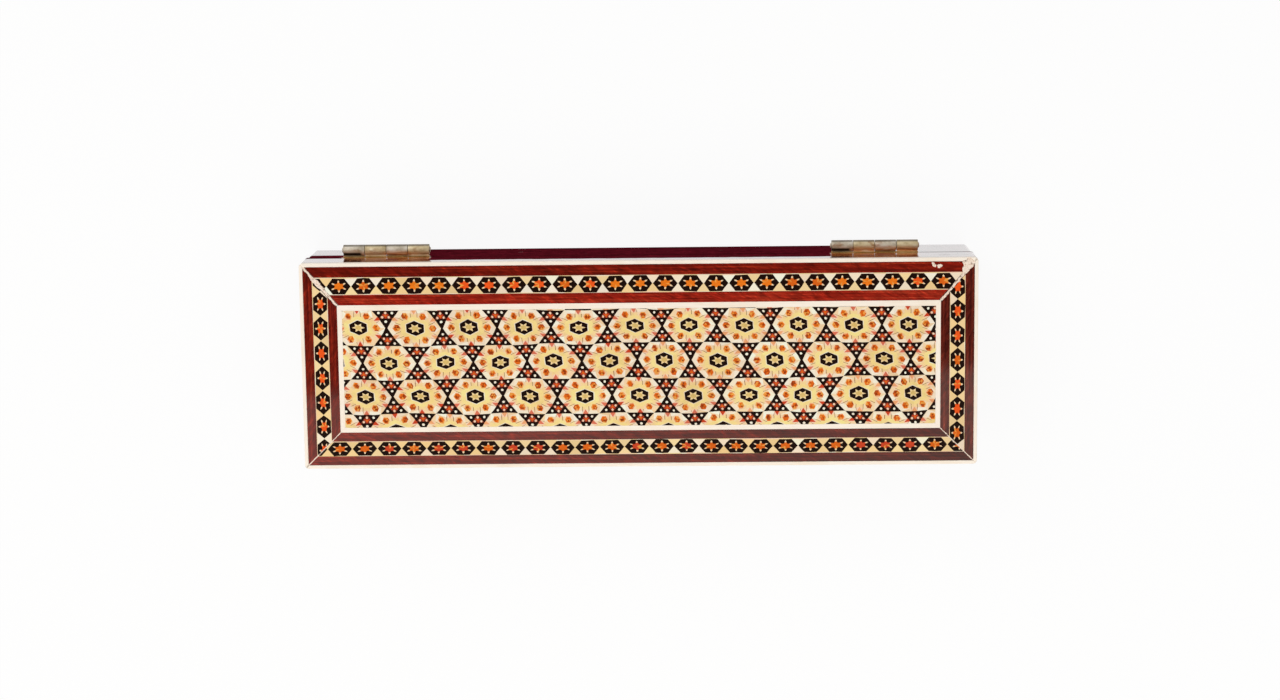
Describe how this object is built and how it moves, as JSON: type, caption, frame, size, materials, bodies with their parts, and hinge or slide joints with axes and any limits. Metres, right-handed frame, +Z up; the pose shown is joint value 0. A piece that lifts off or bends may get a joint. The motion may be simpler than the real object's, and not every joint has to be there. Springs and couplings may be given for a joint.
{
  "type": "pen box",
  "caption": "Long flat-lidded wooden pen box covered in star-and-flower marquetry, with brown and white banding, a velvet-lined tray and a lid that swings back on brass butt hinges.",
  "frame": {"origin": "middle of the flat underside of the base board", "axes": "+X along the length to the right of the lid as pictured, +Y towards the hinges, +Z up out of the lid"},
  "size_m": [0.22, 0.0721, 0.035],
  "materials": {
    "timber": "plain softwood boards stained red-brown",
    "khatam": "mosaic of small wood and bone triangles, ground flat and lacquered",
    "banding": "red-brown straight-grained wood strip under gloss lacquer",
    "bone": "bone-white strip under gloss lacquer",
    "lacquer": "plain veneer under dark maroon gloss lacquer",
    "velvet": "crimson velvet on thin card",
    "filler": "pale putty in the mitre joints",
    "brass": "thin pressed brass, tarnished and worn"
  },
  "bodies": {
    "box": {"base_board": "timber", "front_wall": "timber", "right_wall": "timber", "back_wall": "timber", "left_wall": "timber", "front_khatam": "khatam", "right_khatam": "khatam", "left_khatam": "khatam", "front_banding": "banding", "right_banding": "banding", "left_banding": "banding", "front_lines": "bone", "right_lines": "bone", "left_lines": "bone", "back_veneer": "lacquer", "floor_lining": "velvet", "front_lining": "velvet", "right_lining": "velvet", "back_lining": "velvet", "left_lining": "velvet", "left_hinge_body_leaf": "brass", "right_hinge_body_leaf": "brass", "left_hinge_pin": "brass", "right_hinge_pin": "brass", "hinge_body_nails": "brass"},
    "lid": {"lid_board": "timber", "lid_front_rail": "timber", "lid_right_rail": "timber", "lid_back_rail": "timber", "lid_left_rail": "timber", "lid_front_veneer": "banding", "lid_right_veneer": "banding", "lid_back_veneer": "lacquer", "lid_left_veneer": "banding", "front_edging": "bone", "right_edging": "bone", "back_edging": "bone", "left_edging": "bone", "front_outer_banding": "banding", "right_outer_banding": "banding", "back_outer_banding": "banding", "left_outer_banding": "banding", "front_border": "khatam", "right_border": "khatam", "back_border": "khatam", "left_border": "khatam", "front_inner_banding": "banding", "right_inner_banding": "banding", "back_inner_banding": "banding", "left_inner_banding": "banding", "front_stringing": "bone", "right_stringing": "bone", "back_stringing": "bone", "left_stringing": "bone", "khatam_panel": "khatam", "mitre_filler": "filler", "lid_lining": "velvet", "left_hinge_lid_leaf": "brass", "right_hinge_lid_leaf": "brass", "hinge_lid_nails": "brass"}
  },
  "joints": [
    {"name": "lid_hinge", "type": "hinge", "parent": "box", "child": "lid", "pos_m": [0, 0.03635, 0.02035], "axis": [-1, 0, 0], "range_deg": [0, 180]}
  ]
}
